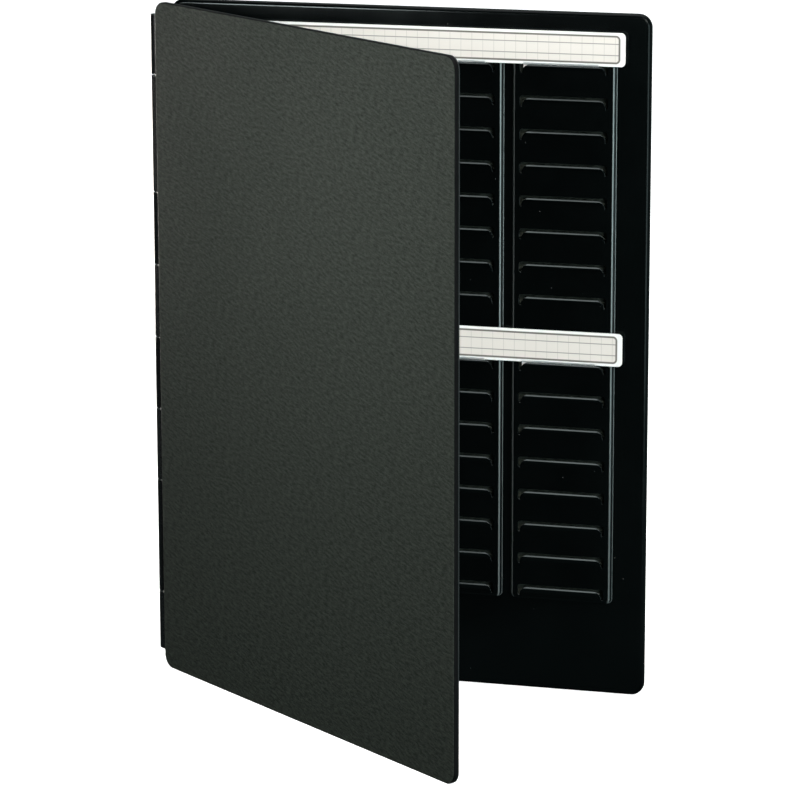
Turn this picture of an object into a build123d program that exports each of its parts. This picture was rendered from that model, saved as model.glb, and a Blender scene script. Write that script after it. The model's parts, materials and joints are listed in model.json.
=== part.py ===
"""Folding card index: two thin leaves on a pin hinge, standing half open on their lower edges.

The back leaf is a board under a formed panel with columns of raised, slotted card pockets.
The cover leaf is a grained board with a thin liner. Two title strips hang in the pockets.

Millimetres, +Z up. The origin is on the floor, under the middle of the half-open object.
"""

import os
from math import asin, cos, degrees, radians, sin

from build123d import *

# Leaves
leaf_height = 312.0
leaf_width = 228.0  # hinge axis to free edge
leaf_start = 6.1  # hinge axis to the leaf's hinge-side edge
corner_radius = 6.0
open_angle = 38.0  # between the leaves
board_thickness = 2.2
sheet_thickness = 0.8  # slot panel and hinge flanges
liner_thickness = 0.5
board_edge_round = 0.7
panel_edge_round = 1.8  # the formed panel's soft outer edge
skirt_clearance = 0.1  # back board inside the panel's turned edge

# Hinge
knuckle_radius = 2.8
pin_radius = 1.0
pin_running_clearance = 0.05
knuckle_gap = 0.8
barrel_inset = 6.5  # leaf end to barrel end
end_pitch = 27.9
long_pitch = 53.9
flange_width = 4.4  # overlap of a flange on its leaf
flange_clearance = 0.2
knuckle_relief = 0.4  # flange edge to the other strip's knuckles

# Card columns
column_pitch = 51.3
row_pitch = 15.0
groups = 2  # each group of rows ends in a row that carries a title strip
column_width = 46.6
column_height = 2.4  # raised above the panel's margin
column_corner = 2.5
shoulder_radius = 1.5
root_radius = 0.5
free_margin = 15.3  # last column to free edge
hinge_margin = 1.5  # least gap from the hinge flange to the first column
head_margin = 12.6  # least gap from the columns to the upper edge
first_row = 48.3  # lower leaf edge to the lowest lip
column_foot = 5.5  # below the lowest lip
column_head = 11.0  # above the highest lip

# Slots and lips
slot_margin = 3.3  # column's side to slot
slot_kerf = 1.0  # beside a lip
slot_opening = 1.4  # above a lip
slot_leg = 3.8  # how far a slot's ends reach below the lip line
slot_corner = 1.4
lip_corner = 4.0
lip_flare = 0.9  # how far a lip's edge stands forward
lip_bend = 2.4  # height of the flared part

# Title strips
strip_thickness = 0.35
strip_height = 15.0
strip_free_overhang = 6.0  # past the last column, with the tabs in mid-slot
strip_hinge_overhang = 2.6  # past the first column
strip_corner = 2.0
strip_stand_off = 0.08  # clear of the columns' faces
strip_lift = 0.55  # lower edge above the lip line
tab_side_clearance = 1.4  # from a tab to its slot's hinge-side end
tab_free_clearance = 4.6  # to the other end
tab_drop = 3.2  # below the lip line
tab_bend_start = 1.25
tab_bend_end = 0.1

# Distances from the hinge axis, square to a leaf
outer_face = knuckle_radius + board_thickness
inner_face = knuckle_radius - sheet_thickness
column_face = column_height - inner_face
slot_width = column_width - 2 * slot_margin
tab_width = slot_width - tab_side_clearance - tab_free_clearance

# Hinge axis, placed so that the half-open object is centred on the origin
turn = radians(open_angle)
reach_forward = (
    (leaf_width - board_edge_round) * sin(turn)
    + (outer_face - board_edge_round) * cos(turn)
    + board_edge_round
)
hinge_x = (knuckle_radius - leaf_width) / 2
hinge_y = (reach_forward - outer_face) / 2

# Leaf planes: x from the hinge axis to the free edge, y up, z towards the front
back_plane = Plane(origin=(hinge_x, hinge_y, 0), x_dir=(1, 0, 0), z_dir=(0, -1, 0))
cover_plane = Plane(
    origin=(hinge_x, hinge_y, 0),
    x_dir=(cos(turn), -sin(turn), 0),
    z_dir=(-sin(turn), -cos(turn), 0),
)
cover_normal = Axis(origin=(hinge_x, hinge_y, 0), direction=(-sin(turn), -cos(turn), 0))

leaf_middle = (leaf_start + leaf_width) / 2
barrel_length = leaf_height - 2 * barrel_inset
flange_start = knuckle_radius + knuckle_relief
flange_end = leaf_start + flange_width

# As many columns and rows as the leaf has room for; a title strip takes up one more row
column_room = leaf_width - free_margin - flange_end - hinge_margin
columns = int((column_room + column_pitch - column_width) / column_pitch)
row_room = leaf_height - head_margin - column_head - first_row
group_rows = int((row_room / row_pitch + 2) / groups) - 1
group_pitch = (group_rows + 1) * row_pitch

grid_x = leaf_width - free_margin - column_width / 2 - (columns - 1) * column_pitch / 2
group_height = (group_rows - 1) * row_pitch
last_row = first_row + (groups - 1) * group_pitch + group_height
grid_y = (first_row + last_row) / 2
column_low = first_row - column_foot
column_high = last_row + column_head
column_length = column_high - column_low
column_middle = (column_low + column_high) / 2

# The middle of every lip line, on the back leaf
lip_places = [
    Pos(grid_x, grid_y) * group * slot
    for group in GridLocations(column_pitch, group_pitch, 1, groups)
    for slot in GridLocations(column_pitch, row_pitch, columns, group_rows)
]


def leaf_outline(inset=0.0):
    """A leaf's rounded outline, less an inset all round, drawn in the open sketch."""
    with Locations((leaf_middle, leaf_height / 2)):
        RectangleRounded(
            leaf_width - leaf_start - 2 * inset,
            leaf_height - 2 * inset,
            corner_radius - inset,
        )


def flange_notch(clearance, mode):
    """The hinge flange's place at a leaf's edge, with room round it."""
    with Locations((flange_end + clearance, leaf_height / 2)):
        Rectangle(
            flange_end + clearance,
            barrel_length + 2 * clearance,
            align=(Align.MAX, Align.CENTER),
            mode=mode,
        )


def make_cover_board():
    """The cover's grained outer board."""
    with BuildPart() as board:
        with BuildSketch(cover_plane.offset(knuckle_radius)):
            leaf_outline()
        extrude(amount=board_thickness)
        fillet(board.faces().sort_by(cover_normal)[-1].edges(), board_edge_round)
    return board.part


def make_cover_liner():
    """The thin sheet inside the cover, cut back round the hinge flange."""
    with BuildPart() as liner:
        with BuildSketch(cover_plane.offset(knuckle_radius)):
            leaf_outline()
            flange_notch(flange_clearance, Mode.SUBTRACT)
        extrude(amount=-liner_thickness)
    return liner.part


def make_back_board():
    """The back leaf's grained board, held inside the slot panel's turned edge."""
    board_inset = sheet_thickness + skirt_clearance
    with BuildPart() as board:
        with BuildSketch(back_plane.offset(-outer_face)):
            leaf_outline(board_inset)
        extrude(amount=board_thickness)
        fillet(board.faces().sort_by(Axis.Y)[0].edges(), panel_edge_round - sheet_thickness)
    return board.part


def make_lip():
    """One pocket lip: a flap of the panel whose upper edge flares forward, at the origin."""
    bend_radius = (lip_bend**2 + lip_flare**2) / (2 * lip_flare)
    bend_turn = degrees(asin(lip_bend / bend_radius))
    lip_half = slot_width / 2 - slot_kerf
    with BuildPart(mode=Mode.PRIVATE) as lip:
        with BuildSketch(Plane.YZ.offset(-lip_half)):
            with BuildLine():
                Line((-slot_leg - sheet_thickness / 2, 0), (-lip_bend, 0))
                JernArc((-lip_bend, 0), (1, 0), bend_radius, bend_turn)
            trace(line_width=sheet_thickness)
        extrude(amount=2 * lip_half)
        with BuildSketch(Plane.XY.offset(-sheet_thickness)):
            with Locations((0, sheet_thickness / 2)):
                Rectangle(2 * lip_half, slot_leg + lip_corner, align=(Align.CENTER, Align.MAX))
            fillet(vertices().group_by(Axis.Y)[-1], lip_corner)
        extrude(amount=2 * sheet_thickness + lip_flare, mode=Mode.INTERSECT)
    return lip.part


def make_slot_panel():
    """The formed panel: margin, turned edge, raised columns, slots and lips."""
    face_middle = column_face - sheet_thickness / 2
    lip = make_lip()
    with BuildPart() as panel:
        with BuildSketch(back_plane.offset(-outer_face)):
            leaf_outline()
        extrude(amount=outer_face - inner_face)
        fillet(panel.faces().sort_by(Axis.Y)[0].edges(), panel_edge_round)
        with BuildSketch(back_plane.offset(-outer_face)):
            leaf_outline(sheet_thickness)
        extrude(amount=board_thickness, mode=Mode.SUBTRACT)

        with BuildSketch(back_plane.offset(-inner_face)):
            with Locations((grid_x, column_middle)):
                with GridLocations(column_pitch, row_pitch, columns, 1):
                    RectangleRounded(column_width, column_length, column_corner)
        extrude(amount=column_height)
        margin = panel.faces().filter_by(Axis.Y).group_by(Axis.Y)[1].face()
        fillet(margin.inner_wires().edges(), root_radius)
        fillet(panel.faces().group_by(Axis.Y)[0].edges(), shoulder_radius)

        with BuildSketch(back_plane.offset(-knuckle_radius)):
            with Locations((grid_x, column_middle)):
                with GridLocations(column_pitch, row_pitch, columns, 1):
                    RectangleRounded(
                        column_width - 2 * sheet_thickness,
                        column_length - 2 * sheet_thickness,
                        column_corner - sheet_thickness,
                    )
        extrude(amount=column_height, mode=Mode.SUBTRACT)
        with BuildSketch(back_plane.offset(-inner_face)):
            flange_notch(flange_clearance, Mode.ADD)
        extrude(amount=-sheet_thickness, mode=Mode.SUBTRACT)

        with BuildSketch(back_plane.offset(column_face)):
            with Locations(*lip_places):
                with Locations((0, slot_opening)):
                    RectangleRounded(
                        slot_width,
                        slot_leg + slot_opening,
                        slot_corner,
                        align=(Align.CENTER, Align.MAX),
                    )
        extrude(amount=-sheet_thickness, mode=Mode.SUBTRACT)
        with Locations(back_plane.offset(face_middle)):
            with Locations(*lip_places):
                add(lip)
    return panel.part


def make_hinge_strip(plane, side, bore_radius, owned):
    """A flange with its share of the hinge knuckles.

    side is +1 where the leaf lies in front of its plane and -1 where it lies behind.
    owned is 0 for the knuckles counted 0, 2, 4... from the lower end, and 1 for the others.
    """
    with BuildPart() as strip:
        with BuildSketch(plane.offset(side * inner_face)):
            with Locations((flange_start, leaf_height / 2)):
                Rectangle(
                    flange_end - flange_start,
                    barrel_length,
                    align=(Align.MIN, Align.CENTER),
                )
        extrude(amount=side * sheet_thickness)
        for low, high in knuckle_spans()[owned::2]:
            with BuildSketch(plane.offset(side * inner_face)):
                with Locations((0, low)):
                    Rectangle(flange_end, high - low, align=Align.MIN)
            extrude(amount=side * sheet_thickness)
            with BuildSketch(Plane(origin=(hinge_x, hinge_y, low))):
                Circle(knuckle_radius)
            extrude(amount=high - low)
        with BuildSketch(Plane(origin=(hinge_x, hinge_y, 0))):
            Circle(bore_radius)
        extrude(amount=leaf_height, mode=Mode.SUBTRACT)
    return strip.part


def knuckle_spans():
    """Lower and upper end of each knuckle, the same from either end of the barrel."""
    short_pitch = (barrel_length - 2 * (end_pitch + long_pitch)) / 4
    half = [end_pitch, long_pitch, short_pitch, short_pitch]
    spans = []
    low = barrel_inset
    for pitch in half + half[::-1]:
        spans.append((low + knuckle_gap / 2, low + pitch - knuckle_gap / 2))
        low += pitch
    return spans


def make_hinge_pin():
    """The steel pin through all the knuckles."""
    spans = knuckle_spans()
    with BuildPart() as pin:
        with BuildSketch(Plane(origin=(hinge_x, hinge_y, spans[0][0]))):
            Circle(pin_radius)
        extrude(amount=spans[-1][1] - spans[0][0])
    return pin.part


def make_title_strip(group):
    """A card strip across all columns, with a tab bent back into each slot of a group's top row."""
    line = first_row + group * group_pitch + group_height
    middle = column_face + strip_stand_off + strip_thickness / 2
    behind = column_face - sheet_thickness - strip_stand_off * 2 - strip_thickness / 2
    tab_x = grid_x + (tab_side_clearance - tab_free_clearance) / 2
    half_span = ((columns - 1) * column_pitch + column_width) / 2
    length = 2 * half_span + strip_free_overhang + strip_hinge_overhang
    with BuildPart() as strip:
        with BuildSketch(back_plane.offset(middle - strip_thickness / 2)):
            with Locations((tab_x - half_span - strip_hinge_overhang, line + strip_lift)):
                RectangleRounded(length, strip_height, strip_corner, align=Align.MIN)
            with Locations((tab_x, line)):
                with GridLocations(column_pitch, row_pitch, columns, 1):
                    Rectangle(tab_width, 2 * tab_bend_start, mode=Mode.SUBTRACT)
        extrude(amount=strip_thickness)
        for column in range(columns):
            tab_left = tab_x + (column - (columns - 1) / 2) * column_pitch - tab_width / 2
            tab_side = Plane(
                origin=back_plane.from_local_coords((tab_left, line, 0)),
                x_dir=(0, 0, 1),
                z_dir=(1, 0, 0),
            )
            with BuildSketch(tab_side):
                with BuildLine():
                    Polyline(
                        (strip_thickness + tab_bend_start, middle),
                        (tab_bend_start, middle),
                        (tab_bend_end, behind),
                        (-tab_drop, behind),
                    )
                trace(line_width=strip_thickness)
            extrude(amount=tab_width)
    return strip.part


pieces = {
    "cover_board": make_cover_board(),
    "cover_liner": make_cover_liner(),
    "cover_hinge_strip": make_hinge_strip(cover_plane, 1, pin_radius + pin_running_clearance, 0),
    "hinge_pin": make_hinge_pin(),
    "back_hinge_strip": make_hinge_strip(back_plane, -1, pin_radius, 1),
    "back_board": make_back_board(),
    "slot_panel": make_slot_panel(),
    "lower_title_strip": make_title_strip(0),
    "upper_title_strip": make_title_strip(1),
}

os.makedirs("parts", exist_ok=True)
for name, piece in pieces.items():
    piece.label = name
    export_step(piece, f"parts/{name}.step")
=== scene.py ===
"""Looks for the folding card index: grained and moulded black plastics, steel pin, printed card.

Metres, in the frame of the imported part: +Z up, the viewer in front on the -Y side.
"""

import json
from math import cos, radians, sin

import bmesh
import bpy
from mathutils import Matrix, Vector


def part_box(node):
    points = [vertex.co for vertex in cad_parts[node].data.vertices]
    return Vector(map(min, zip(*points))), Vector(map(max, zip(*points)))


MM = 0.001
RIGHT = Vector((1, 0, 0))
BACK = Vector((0, 1, 0))
UP = Vector((0, 0, 1))

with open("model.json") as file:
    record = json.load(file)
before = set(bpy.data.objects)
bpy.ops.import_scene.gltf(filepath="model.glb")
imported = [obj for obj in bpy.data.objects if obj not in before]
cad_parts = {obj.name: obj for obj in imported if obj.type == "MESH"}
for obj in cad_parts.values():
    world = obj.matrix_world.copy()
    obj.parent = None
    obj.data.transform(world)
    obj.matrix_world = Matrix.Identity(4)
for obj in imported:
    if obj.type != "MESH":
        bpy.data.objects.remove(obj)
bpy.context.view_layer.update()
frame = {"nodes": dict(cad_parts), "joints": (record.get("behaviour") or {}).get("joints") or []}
nodes = frame["nodes"]
scene = bpy.context.scene

# The cover's outward direction at rest: the hinge closes it at its lower limit
open_angle = radians(-frame["joints"][0]["range_deg"][0])
cover_outward = Vector((-sin(open_angle), -cos(open_angle), 0))


# ---- nodes --------------------------------------------------------------------------------


class Nodes:
    """A node tree under construction. An input given as a socket is linked, else it is set."""

    def __init__(self, tree):
        self.tree = tree

    def add(self, kind, inputs, **settings):
        made = self.tree.nodes.new("ShaderNode" + kind)
        for setting, value in settings.items():
            setattr(made, setting, value)
        for key, value in inputs.items():
            self.put(made.inputs[key], value)
        return made

    def put(self, socket, value):
        if isinstance(value, bpy.types.NodeSocket):
            self.tree.links.new(value, socket)
        else:
            socket.default_value = value

    def math(self, operation, *values):
        return self.add("Math", dict(enumerate(values)), operation=operation).outputs[0]

    def spread(self, value, low, high, out_low=0.0, out_high=1.0):
        """Maps low..high to out_low..out_high, smoothly and without overshoot."""
        inputs = dict(enumerate((value, low, high, out_low, out_high)))
        return self.add("MapRange", inputs, interpolation_type="SMOOTHSTEP").outputs[0]

    def point(self, output="Object"):
        """The surface point at rest, or another output of the coordinates node."""
        return self.add("TexCoord", {}).outputs[output]

    def offset_from(self, middle):
        """The way from this fixed point to the surface point."""
        inputs = {0: self.point(), 1: middle}
        return self.add("VectorMath", inputs, operation="SUBTRACT").outputs[0]

    def dot(self, vector, direction):
        inputs = {0: vector, 1: direction}
        return self.add("VectorMath", inputs, operation="DOT_PRODUCT").outputs["Value"]

    def mix(self, amount, first, second):
        """A colour between first, at 0, and second, at 1."""
        made = self.add("Mix", {}, data_type="RGBA")
        sockets = {socket.name: socket for socket in made.inputs if socket.enabled}
        for name, value in {"Factor": amount, "A": first, "B": second}.items():
            self.put(sockets[name], value)
        return next(socket for socket in made.outputs if socket.enabled)

    def noise(self, size, detail=2.0, roughness=0.5, stretch=(1, 1, 1)):
        """Fractal noise from 0 to 1 with features of about this size in metres."""
        scaled = self.add("Mapping", {"Vector": self.point(), "Scale": stretch}).outputs[0]
        return self.noise_at(scaled, 1 / size, detail, roughness)

    def noise_at(self, place, scale, detail, roughness):
        inputs = {"Vector": place, "Scale": scale, "Detail": detail, "Roughness": roughness}
        return self.add("TexNoise", inputs).outputs["Fac"]

    def bump(self, height, depth, over):
        """Relief this many metres deep, on top of the direction given by over."""
        inputs = {"Height": height, "Distance": depth, "Normal": over}
        return self.add("Bump", inputs).outputs[0]

    def soft_edges(self, radius):
        """The surface direction with its sharp edges rounded off to this radius."""
        return self.add("Bevel", {"Radius": radius}, samples=4).outputs[0]

    def outside_box(self, offset, half_width, half_height, corner):
        """Distance outward from an upright round-cornered rectangle centred on zero offset."""
        past_end = self.math("ABSOLUTE", self.dot(offset, RIGHT))
        past_end = self.math("SUBTRACT", past_end, half_width - corner)
        past_edge = self.math("ABSOLUTE", self.dot(offset, UP))
        past_edge = self.math("SUBTRACT", past_edge, half_height - corner)
        end_squared = self.math("POWER", self.math("MAXIMUM", past_end, 0.0), 2.0)
        edge_squared = self.math("POWER", self.math("MAXIMUM", past_edge, 0.0), 2.0)
        beyond = self.math("SQRT", self.math("ADD", end_squared, edge_squared))
        inside = self.math("MINIMUM", self.math("MAXIMUM", past_end, past_edge), 0.0)
        return self.math("SUBTRACT", self.math("ADD", beyond, inside), corner)

    def away_from_edges(self, rounded):
        """1 on open surface, less where the direction from soft_edges turns over an edge."""
        return self.dot(rounded, self.add("NewGeometry", {}).outputs["Normal"])


class Finish(Nodes):
    """A material: one Principled surface and the nodes that feed it."""

    def __init__(self, name, **surface):
        self.material = bpy.data.materials.new(name)
        self.material.use_nodes = True
        super().__init__(self.material.node_tree)
        self.feed(**surface)

    def feed(self, **sockets):
        surface = self.tree.nodes["Principled BSDF"]
        for name, value in sockets.items():
            self.put(surface.inputs[name.replace("_", " ")], value)
        return self.material


def tone(level, tint=(1.0, 1.0, 1.0)):
    """A grey of this level, slightly tinted."""
    return (level * tint[0], level * tint[1], level * tint[2], 1.0)


# ---- finishes -----------------------------------------------------------------------------


def grained_board(name, outward):
    """Matt charcoal board: streaked leather grain on its face; its cut edges and round-overs are
    painted near-black as painted shade.
    """
    streak_length, streak_width, streak_lean = 3.2 * MM, 1.05 * MM, radians(15)
    pore_size, patch_size = 0.4 * MM, 45 * MM
    edge_round, grain_depth = 0.3 * MM, 0.25 * MM
    green_grey = (0.93, 1.11, 0.93)
    f = Finish(name, Specular_IOR_Level=0.06)
    side = UP.cross(outward)
    along = f.dot(f.point(), side * cos(streak_lean) - UP * sin(streak_lean))
    across = f.dot(f.point(), side * sin(streak_lean) + UP * cos(streak_lean))
    lengthwise = f.math("DIVIDE", along, streak_length)
    crosswise = f.math("DIVIDE", across, streak_width)
    streak_place = f.add("CombineXYZ", {"X": lengthwise, "Y": crosswise}).outputs[0]
    streaks = f.noise_at(streak_place, scale=1.0, detail=2.0, roughness=0.6)
    pores = f.noise(pore_size, detail=3)
    grain = f.math("MULTIPLY_ADD", pores, 0.4, f.math("MULTIPLY", streaks, 0.6))
    # The flat face, away from the cut edges and round-overs; those get painted shade below
    flat = f.spread(f.math("ABSOLUTE", f.dot(f.point("Normal"), outward)), 0.7, 0.92)
    rounded = f.soft_edges(edge_round)
    face_outside_edge_shade = f.math("MULTIPLY", flat, f.spread(f.away_from_edges(rounded), 0.8, 0.98))
    face = f.mix(f.spread(grain, 0.3, 0.7), tone(0.016, green_grey), tone(0.05, green_grey))
    # Base colour: painted shade, near-black, on the cut edges and round-overs; grained face
    # elsewhere
    return f.feed(
        Base_Color=f.mix(face_outside_edge_shade, tone(0.002), face),
        Roughness=f.spread(f.noise(patch_size, detail=4), 0.3, 0.7, 0.62, 0.54),
        Normal=f.bump(f.math("MULTIPLY", grain, face_outside_edge_shade), grain_depth, rounded),
    )


def gloss_sheet():
    """Glossy black formed sheet: dusty, with a painted highlight on the columns' shoulders, and
    a dull rim.
    """
    rim_corner, rim_width = 6 * MM, 0.9 * MM
    margin_start, margin_end = -5 * rim_width, -4 * rim_width
    dust_spacing, ripple_depth, skin_depth = 9 * MM, 0.05 * MM, 0.0025 * MM
    gloss, rim_gloss = 0.5, 0.06
    teal, cool = (0.6, 1.0, 1.05), (0.9, 1.0, 1.0)
    f = Finish("gloss_sheet", Specular_Tint=(0.85, 1.0, 0.99, 1.0))
    ripple = f.noise(9 * MM, detail=1)
    skin = f.noise(0.7 * MM, detail=2)
    haze = f.noise(30 * MM, detail=5, roughness=0.65)
    sheet = f.mix(haze, tone(0.0004, teal), tone(0.001, teal))

    low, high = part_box("slot_panel")
    half = (high - low) / 2
    from_rim = f.outside_box(f.offset_from((low + high) / 2), half.x, half.z, rim_corner)
    # Painted highlight: a lighter cool tone on the columns' side-facing shoulders, kept off the
    # margin
    facing_side = f.math("ABSOLUTE", f.dot(f.point("Normal"), RIGHT))
    shoulder_highlight_mask = f.spread(f.math("PINGPONG", facing_side, 0.5), 0.15, 0.45)
    off_margin = f.spread(from_rim, margin_start, margin_end, 1.0, 0.0)
    sheet_with_painted_highlight = f.mix(f.math("MULTIPLY", shoulder_highlight_mask, off_margin), sheet, tone(0.085, cool))

    specks = f.add("TexVoronoi", {"Vector": f.point(), "Scale": 1 / dust_spacing})
    dust = f.spread(specks.outputs["Distance"], 0.012, 0.03, 1.0, 0.0)
    rippled = f.bump(ripple, ripple_depth, f.soft_edges(0.15 * MM))
    return f.feed(
        Base_Color=f.mix(dust, sheet_with_painted_highlight, tone(0.08)),
        Roughness=f.spread(haze, 0.3, 0.7, 0.16, 0.22),
        Specular_IOR_Level=f.spread(from_rim, -2 * rim_width, -rim_width, gloss, rim_gloss),
        Normal=f.bump(skin, skin_depth, rippled),
    )


def liner_sheet():
    """The smooth satin sheet inside the cover, with faint handling haze."""
    cool = (0.9, 1.0, 1.0)
    f = Finish("liner_sheet", Specular_IOR_Level=0.45)
    skin = f.noise(0.9 * MM, detail=3)
    haze = f.noise(55 * MM, detail=5, roughness=0.6)
    return f.feed(
        Base_Color=f.mix(haze, tone(0.006, cool), tone(0.010, cool)),
        Roughness=f.spread(haze, 0.3, 0.7, 0.3, 0.4),
        Normal=f.bump(skin, 0.006 * MM, f.soft_edges(0.2 * MM)),
    )


def hinge_plastic():
    """Satin black moulded plastic with a fine spark-eroded texture."""
    f = Finish("hinge_plastic")
    spark = f.noise(0.18 * MM, detail=4, roughness=0.7)
    patches = f.noise(6 * MM, detail=3)
    return f.feed(
        Base_Color=f.mix(patches, tone(0.003), tone(0.006)),
        Roughness=f.spread(spark, 0.3, 0.7, 0.2, 0.3),
        Normal=f.bump(spark, 0.012 * MM, f.soft_edges(0.25 * MM)),
    )


def pin_steel():
    """Bright drawn steel with fine lines along its length."""
    warm = (1.0, 0.99, 0.96)
    f = Finish("pin_steel", Metallic=1.0)
    drawn = f.noise(0.12 * MM, detail=3, stretch=(1, 1, 0.02))
    return f.feed(
        Base_Color=f.mix(drawn, tone(0.62, warm), tone(0.82, warm)),
        Roughness=f.spread(drawn, 0.3, 0.7, 0.2, 0.34),
        Normal=f.bump(drawn, 0.004 * MM, f.soft_edges(0.1 * MM)),
    )


def printed_card(node):
    """White card printed with a rounded frame round a ruled grid, placed on this title strip."""
    card_height = 15 * MM
    end_inset, edge_inset, frame_corner = 2.7 * MM, 1.6 * MM, 1.6 * MM
    frame_pen, row_pen, mark_pen = 0.26 * MM, 0.12 * MM, 0.06 * MM
    row_spacing, mark_pitch = 5 * MM, 5 * MM
    low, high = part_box(node)
    middle = Vector(((low.x + high.x) / 2, 0, high.z - card_height / 2))
    f = Finish("strip_card_" + node, Specular_IOR_Level=0.3)
    offset = f.offset_from(middle)
    sideways = f.math("ABSOLUTE", f.dot(offset, RIGHT))
    upward = f.math("ABSOLUTE", f.dot(offset, UP))
    half_width = (high.x - low.x) / 2 - end_inset
    half_height = card_height / 2 - edge_inset
    from_frame = f.outside_box(offset, half_width, half_height, frame_corner)

    def line(distance, pen):
        """1 within a pen's width of a line, fading to 0 a little past it."""
        return f.spread(f.math("ABSOLUTE", distance), pen, 2.2 * pen, 1.0, 0.0)

    within = f.spread(from_frame, -frame_pen, 0.0, 1.0, 0.0)
    rows = line(f.math("SUBTRACT", upward, row_spacing / 2), row_pen)
    marks = line(f.math("PINGPONG", sideways, mark_pitch / 2), mark_pen)
    grid = f.math("MAXIMUM", f.math("MULTIPLY", rows, 0.9), f.math("MULTIPLY", marks, 0.4))

    panel_tint, grid_ink, frame_ink = (0.74, 0.695, 0.65), (0.25, 0.24, 0.22), (0.16, 0.15, 0.13)
    fibre = f.noise(0.35 * MM, detail=4, roughness=0.7)
    card = f.mix(fibre, (0.86, 0.86, 0.84, 1.0), (0.9, 0.9, 0.885, 1.0))
    tinted = f.mix(within, card, tone(1.0, panel_tint))
    ruled = f.mix(f.math("MULTIPLY", grid, within), tinted, tone(1.0, grid_ink))
    return f.feed(
        Base_Color=f.mix(line(from_frame, frame_pen), ruled, tone(1.0, frame_ink)),
        Roughness=f.spread(fibre, 0.3, 0.7, 0.55, 0.7),
        Normal=f.bump(fibre, 0.01 * MM, f.soft_edges(0.08 * MM)),
    )


hinge = hinge_plastic()
finishes = {
    "cover_board": grained_board("grained_cover", cover_outward),
    "back_board": grained_board("grained_back", BACK),
    "cover_liner": liner_sheet(),
    "slot_panel": gloss_sheet(),
    "cover_hinge_strip": hinge,
    "back_hinge_strip": hinge,
    "hinge_pin": pin_steel(),
    "lower_title_strip": printed_card("lower_title_strip"),
    "upper_title_strip": printed_card("upper_title_strip"),
}
for name, finish in finishes.items():
    for slot in nodes[name].material_slots:
        slot.material = finish


# ---- studio -------------------------------------------------------------------------------


def add_object(name, data):
    made = bpy.data.objects.new(name, data)
    scene.collection.objects.link(made)
    return made


def studio_bowl():
    """A plain pale floor that curves up into the same pale backdrop all the way round."""
    radius, bend, height = 3.5, 1.2, 3.0
    bend_steps, around = 12, 72
    profile = [(radius - bend, 0.0)]
    for step in range(1, bend_steps + 1):
        turn = radians(90) * step / bend_steps
        profile.append((radius - bend + bend * sin(turn), bend - bend * cos(turn)))
    profile.append((radius, height))
    turns = [radians(360) * step / around for step in range(around)]
    bowl = bmesh.new()
    middle = bowl.verts.new((0, 0, 0))
    rings = [
        [bowl.verts.new((out * cos(turn), out * sin(turn), up)) for turn in turns]
        for out, up in profile
    ]
    for i in range(around):
        j = (i + 1) % around
        bowl.faces.new((middle, rings[0][i], rings[0][j]))
        for lower, upper in zip(rings, rings[1:]):
            bowl.faces.new((lower[i], upper[i], upper[j], lower[j]))
    mesh = bpy.data.meshes.new("studio_bowl")
    bowl.to_mesh(mesh)
    bowl.free()
    for face in mesh.polygons:
        face.use_smooth = True
    f = Finish("studio_bowl", Roughness=0.9, Specular_IOR_Level=0.1, Emission_Strength=0.75)
    pale = f.mix(f.noise(0.4), tone(0.86), tone(0.88))
    mesh.materials.append(f.feed(Base_Color=pale, Emission_Color=pale))
    stage = add_object("studio_bowl", mesh)
    stage.visible_diffuse = stage.visible_glossy = stage.visible_shadow = False


def softbox(name, place, aim, size, watts, spread, colour=(1, 1, 1)):
    """A square diffused studio light, aimed at a point, that the camera doesn't see.

    Its size is in metres and its spread in degrees.
    """
    light = bpy.data.lights.new(name, "AREA")
    light.shape = "SQUARE"
    light.size = size
    light.energy = watts
    light.spread = radians(spread)
    light.color = colour
    lamp = add_object(name, light)
    lamp.visible_camera = False
    lamp.location = place
    lamp.rotation_euler = (Vector(aim) - Vector(place)).to_track_quat("-Z", "Y").to_euler()


def soft_surroundings():
    """Dim cool light from all round, stronger from the right and from behind."""
    world = bpy.data.worlds.new("studio")
    scene.world = world
    world.use_nodes = True
    w = Nodes(world.node_tree)
    direction = w.point("Generated")
    from_behind = w.spread(w.dot(direction, BACK), 0.0, 0.8, 0.045, 0.12)
    from_right = w.spread(w.dot(direction, RIGHT), 0.2, 0.95, 0.0, 0.45)
    background = w.tree.nodes["Background"]
    w.put(background.inputs["Strength"], w.math("ADD", from_behind, from_right))
    w.put(background.inputs["Color"], (0.7, 0.98, 1.0, 1.0))


WARM = (1.0, 0.94, 0.88)
COOL = (0.85, 0.97, 1.0)

studio_bowl()
soft_surroundings()
softbox("backdrop_light", (0.2, 1.4, 2.0), (0.2, 1.4, 0), 2.4, 25, 120)
softbox("overhead", (0.1, -0.1, 1.0), (0.1, 0, 0), 0.6, 4.4, 180)
softbox("front_right", (0.75, -1.1, 0.95), (0.05, 0.05, 0.2), 0.5, 1.0, 40, WARM)
softbox("front_left", (-0.16, -0.275, 0.33), (0.02, -0.035, 0.2), 0.12, 0.62, 150)
softbox("side_right", (0.85, -0.7, 0.2), (0, 0, 0.15), 0.65, 4.2, 120, COOL)
softbox("rim_left", (-0.7, 0.6, 0.2), (-0.11, 0.07, 0.15), 0.4, 4, 120, WARM)

# Standard keeps the white card and the pale floor white
scene.view_settings.view_transform = "Standard"

# ---- camera -------------------------------------------------------------------------------

lens = bpy.data.cameras.new("camera")
lens.sensor_width = 36
lens.lens = 178.45
camera = add_object("camera", lens)
camera.location = (0.4627, -1.6263, 0.5437)
camera.rotation_euler = (radians(76.83), radians(0.116), radians(15.191))
scene.camera = camera
